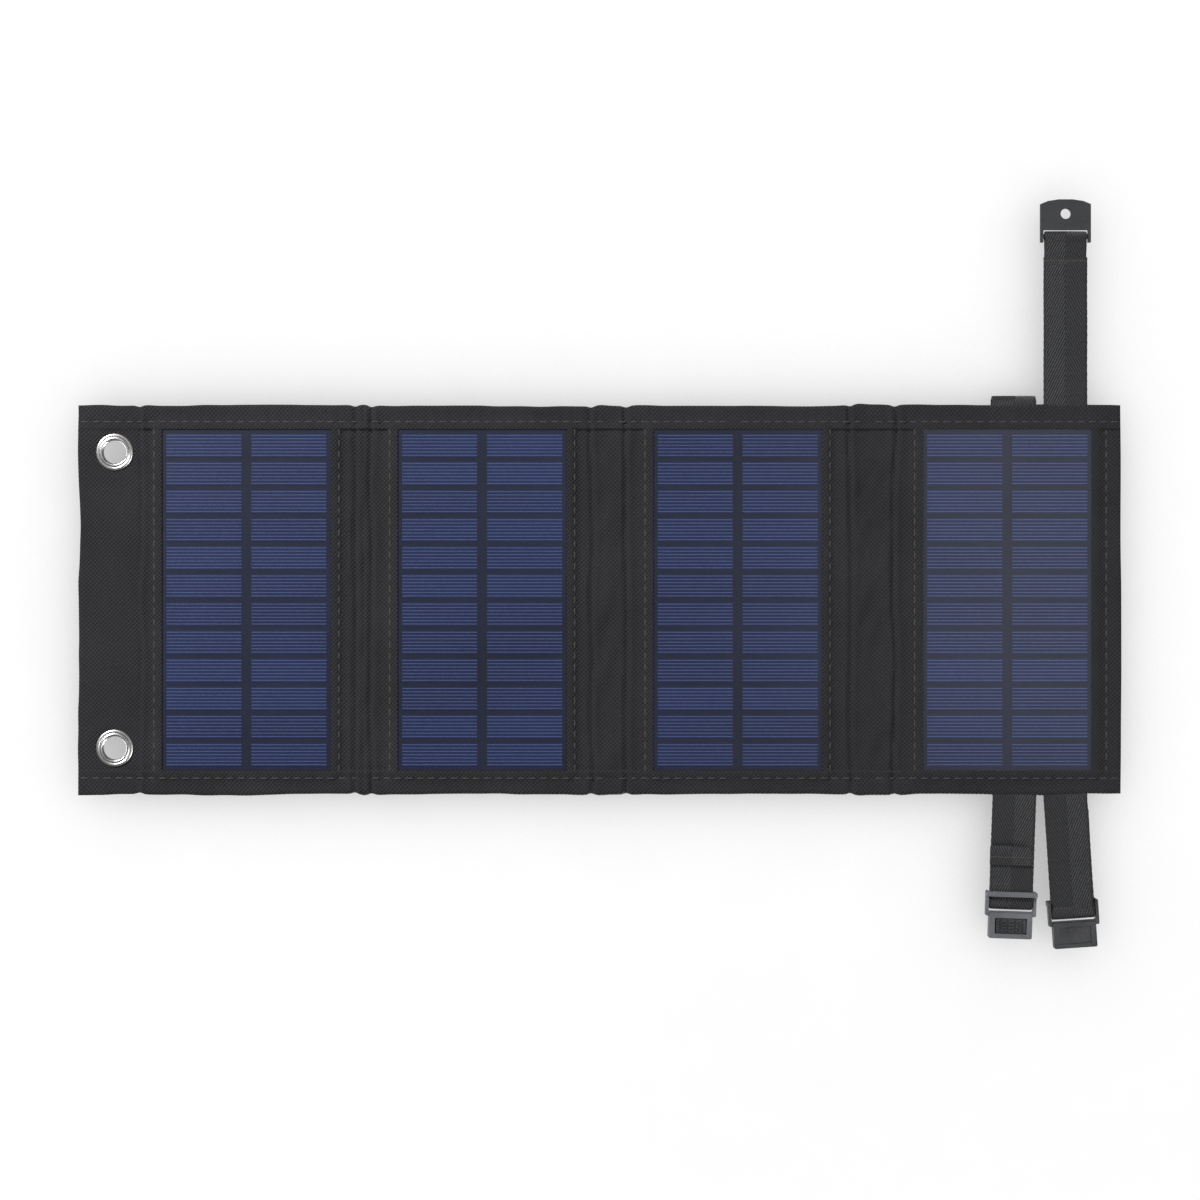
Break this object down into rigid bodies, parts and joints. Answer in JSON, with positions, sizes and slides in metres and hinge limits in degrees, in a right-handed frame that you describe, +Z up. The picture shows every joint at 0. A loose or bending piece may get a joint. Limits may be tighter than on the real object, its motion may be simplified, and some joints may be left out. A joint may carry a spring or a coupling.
{
  "type": "folding solar panel",
  "caption": "Cloth-backed folding solar charger: laminated plates in a roll-up sheet, a grommet flap, a USB box, a rear pocket and buckled closing straps.",
  "frame": {"origin": "middle of the unfolded cloth sheet, on the outer face of its back cloth", "axes": "+X from the grommet flap to the pocket panel, +Z up towards the pocket's mouth, cells face +Y and the pocket faces -Y"},
  "size_m": [0.447, 0.0172, 0.3214],
  "materials": {
    "back_cloth": "near-black coated oxford weave",
    "front_cloth": "charcoal oxford weave",
    "pocket_cloth": "charcoal oxford weave",
    "board": "stiffener board",
    "laminate": "dark navy laminate under a clear film",
    "cell": "deep blue silicon with fine silver lines",
    "wire": "insulated wire",
    "steel": "polished nickel-plated steel",
    "box_plastic": "satin moulded plastic",
    "socket_metal": "plated steel",
    "circuit_board": "solder mask",
    "chip": "moulded chip",
    "led": "clear red lens",
    "webbing": "herringbone webbing",
    "buckle_plastic": "satin moulded plastic"
  },
  "bodies": {
    "panel_1": {"panel_1_back_cloth": "back_cloth", "panel_1_front_cloth": "front_cloth", "panel_1_backing_board": "board", "panel_1_laminate": "laminate", "panel_1_cells": "cell", "panel_1_wires": "wire"},
    "panel_2": {"panel_2_back_cloth": "back_cloth", "panel_2_front_cloth": "front_cloth", "panel_2_backing_board": "board", "panel_2_laminate": "laminate", "panel_2_cells": "cell", "panel_2_wires": "wire"},
    "panel_3": {"panel_3_back_cloth": "back_cloth", "panel_3_front_cloth": "front_cloth", "panel_3_backing_board": "board", "panel_3_laminate": "laminate", "panel_3_cells": "cell", "panel_3_wires": "wire", "box_base": "box_plastic", "box_shell": "box_plastic", "usb_socket": "socket_metal", "regulator_board": "circuit_board", "regulator_parts": "chip", "indicator_led": "led"},
    "panel_4": {"panel_4_back_cloth": "back_cloth", "panel_4_front_cloth": "front_cloth", "panel_4_backing_board": "board", "panel_4_laminate": "laminate", "panel_4_cells": "cell", "panel_4_wires": "wire", "pocket_cloth": "pocket_cloth", "female_strap_anchors": "webbing", "male_strap_anchors": "webbing"},
    "spine_12": {"fold_12_cloth": "back_cloth", "fold_12_wires": "wire"},
    "spine_23": {"fold_23_cloth": "back_cloth", "fold_23_wires": "wire"},
    "spine_34": {"fold_34_cloth": "back_cloth", "fold_34_wires": "wire"},
    "grommet_flap": {"flap_back_cloth": "back_cloth", "flap_front_cloth": "front_cloth", "eyelets": "steel", "eyelet_washers": "steel"},
    "female_1_lower": {"strap_female_1_lower_web": "webbing"},
    "female_1_upper": {"strap_female_1_upper_web": "webbing"},
    "female_1_buckle": {"strap_female_1_tail_web": "webbing", "latch_frame_female_1": "buckle_plastic"},
    "female_1_button": {"latch_button_female_1": "buckle_plastic"},
    "female_2_lower": {"strap_female_2_lower_web": "webbing"},
    "female_2_upper": {"strap_female_2_upper_web": "webbing"},
    "female_2_buckle": {"strap_female_2_tail_web": "webbing", "latch_frame_female_2": "buckle_plastic"},
    "female_2_button": {"latch_button_female_2": "buckle_plastic"},
    "male_1_lower": {"strap_male_1_lower_web": "webbing"},
    "male_1_upper": {"strap_male_1_upper_web": "webbing"},
    "male_1_catch": {"catch_plate_male_1": "buckle_plastic"},
    "male_2_lower": {"strap_male_2_lower_web": "webbing"},
    "male_2_upper": {"strap_male_2_upper_web": "webbing"},
    "male_2_catch": {"catch_plate_male_2": "buckle_plastic"}
  },
  "joints": [
    {"name": "fold_34", "type": "hinge", "parent": "panel_4", "child": "spine_34", "pos_m": [0.1264, 0.0005, 0], "axis": [0, 0, -1], "range_deg": [-15, 90]},
    {"name": "fold_34_second", "type": "hinge", "parent": "spine_34", "child": "panel_3", "pos_m": [0.1074, 0.0005, 0], "axis": [0, 0, -1], "range_deg": [-15, 90]},
    {"name": "fold_23", "type": "hinge", "parent": "panel_3", "child": "spine_23", "pos_m": [0.0113, 0.0005, 0], "axis": [0, 0, -1], "range_deg": [-15, 90]},
    {"name": "fold_23_second", "type": "hinge", "parent": "spine_23", "child": "panel_2", "pos_m": [-0.0037, 0.0005, 0], "axis": [0, 0, -1], "range_deg": [-15, 90]},
    {"name": "fold_12", "type": "hinge", "parent": "panel_2", "child": "spine_12", "pos_m": [-0.098, 0.0005, 0], "axis": [0, 0, -1], "range_deg": [-15, 90]},
    {"name": "fold_12_second", "type": "hinge", "parent": "spine_12", "child": "panel_1", "pos_m": [-0.105, 0.0005, 0], "axis": [0, 0, -1], "range_deg": [-15, 90]},
    {"name": "grommet_flap_fold", "type": "hinge", "parent": "panel_1", "child": "grommet_flap", "pos_m": [-0.1975, -0.0006, 0], "axis": [0, 0, 1], "range_deg": [-15, 180]},
    {"name": "strap_female_1_root", "type": "hinge", "parent": "panel_4", "child": "female_1_lower", "pos_m": [0.1778, 0.00115, 0.085], "axis": [-1, 0, 0], "range_deg": [-30, 90]},
    {"name": "strap_female_1_wrap", "type": "hinge", "parent": "female_1_lower", "child": "female_1_upper", "pos_m": [0.17698, 0.00115, 0.10849], "axis": [-1, 0, 0], "range_deg": [-30, 90]},
    {"name": "web_adjust_female_1", "type": "slide", "parent": "female_1_upper", "child": "female_1_buckle", "axis": [-0.0349, 0, 0.9994], "range_m": [0, 0.02]},
    {"name": "zz_press_female_1", "type": "hinge", "parent": "female_1_buckle", "child": "female_1_button", "pos_m": [0.17579, 0.00345, 0.14261], "axis": [-0.9994, 0, -0.0349], "range_deg": [0, 5]},
    {"name": "strap_female_2_root", "type": "hinge", "parent": "panel_4", "child": "female_2_lower", "pos_m": [0.1997, 0.00115, 0.085], "axis": [-1, 0, 0], "range_deg": [0, 90]},
    {"name": "strap_female_2_wrap", "type": "hinge", "parent": "female_2_lower", "child": "female_2_upper", "pos_m": [0.20126, 0.00115, 0.10845], "axis": [-1, 0, 0], "range_deg": [0, 90]},
    {"name": "web_adjust_female_2", "type": "slide", "parent": "female_2_upper", "child": "female_2_buckle", "axis": [0.0663, 0, 0.9978], "range_m": [0, 0.02]},
    {"name": "zz_press_female_2", "type": "hinge", "parent": "female_2_buckle", "child": "female_2_button", "pos_m": [0.20379, -0.00115, 0.14651], "axis": [0.9978, 0, -0.0663], "range_deg": [0, 5]},
    {"name": "strap_male_2_root", "type": "hinge", "parent": "panel_4", "child": "male_2_lower", "pos_m": [0.1997, 0.00115, -0.085], "axis": [1, 0, 0], "range_deg": [-30, 90]},
    {"name": "strap_male_2_wrap", "type": "hinge", "parent": "male_2_lower", "child": "male_2_upper", "pos_m": [0.1997, 0.00115, -0.1085], "axis": [1, 0, 0], "range_deg": [-30, 90]},
    {"name": "tongue_swing_male_2", "type": "hinge", "parent": "male_2_upper", "child": "male_2_catch", "pos_m": [0.1997, 0.00115, -0.156], "axis": [-1, 0, 0], "range_deg": [-60, 120]},
    {"name": "strap_male_1_root", "type": "hinge", "parent": "panel_4", "child": "male_1_lower", "pos_m": [0.1778, -0.0023, -0.0873], "axis": [1, 0, 0], "range_deg": [0, 270]},
    {"name": "strap_male_1_wrap", "type": "hinge", "parent": "male_1_lower", "child": "male_1_upper", "pos_m": [0.1778, -0.005, -0.0606], "axis": [1, 0, 0], "range_deg": [0, 90]},
    {"name": "tongue_swing_male_1", "type": "hinge", "parent": "male_1_upper", "child": "male_1_catch", "pos_m": [0.1778, -0.0068, 0.0062], "axis": [-1, 0, 0], "range_deg": [0, 180]}
  ],
  "couplings": [
    {"joint": "fold_34_second", "follows": "fold_34", "ratio": 1},
    {"joint": "fold_23_second", "follows": "fold_23", "ratio": 1},
    {"joint": "fold_12_second", "follows": "fold_12", "ratio": 1},
    {"joint": "strap_female_1_wrap", "follows": "strap_female_1_root", "ratio": 1},
    {"joint": "strap_female_2_wrap", "follows": "strap_female_2_root", "ratio": 1},
    {"joint": "strap_male_2_wrap", "follows": "strap_male_2_root", "ratio": 1},
    {"joint": "strap_male_1_wrap", "follows": "strap_male_1_root", "ratio": 0.33333}
  ]
}
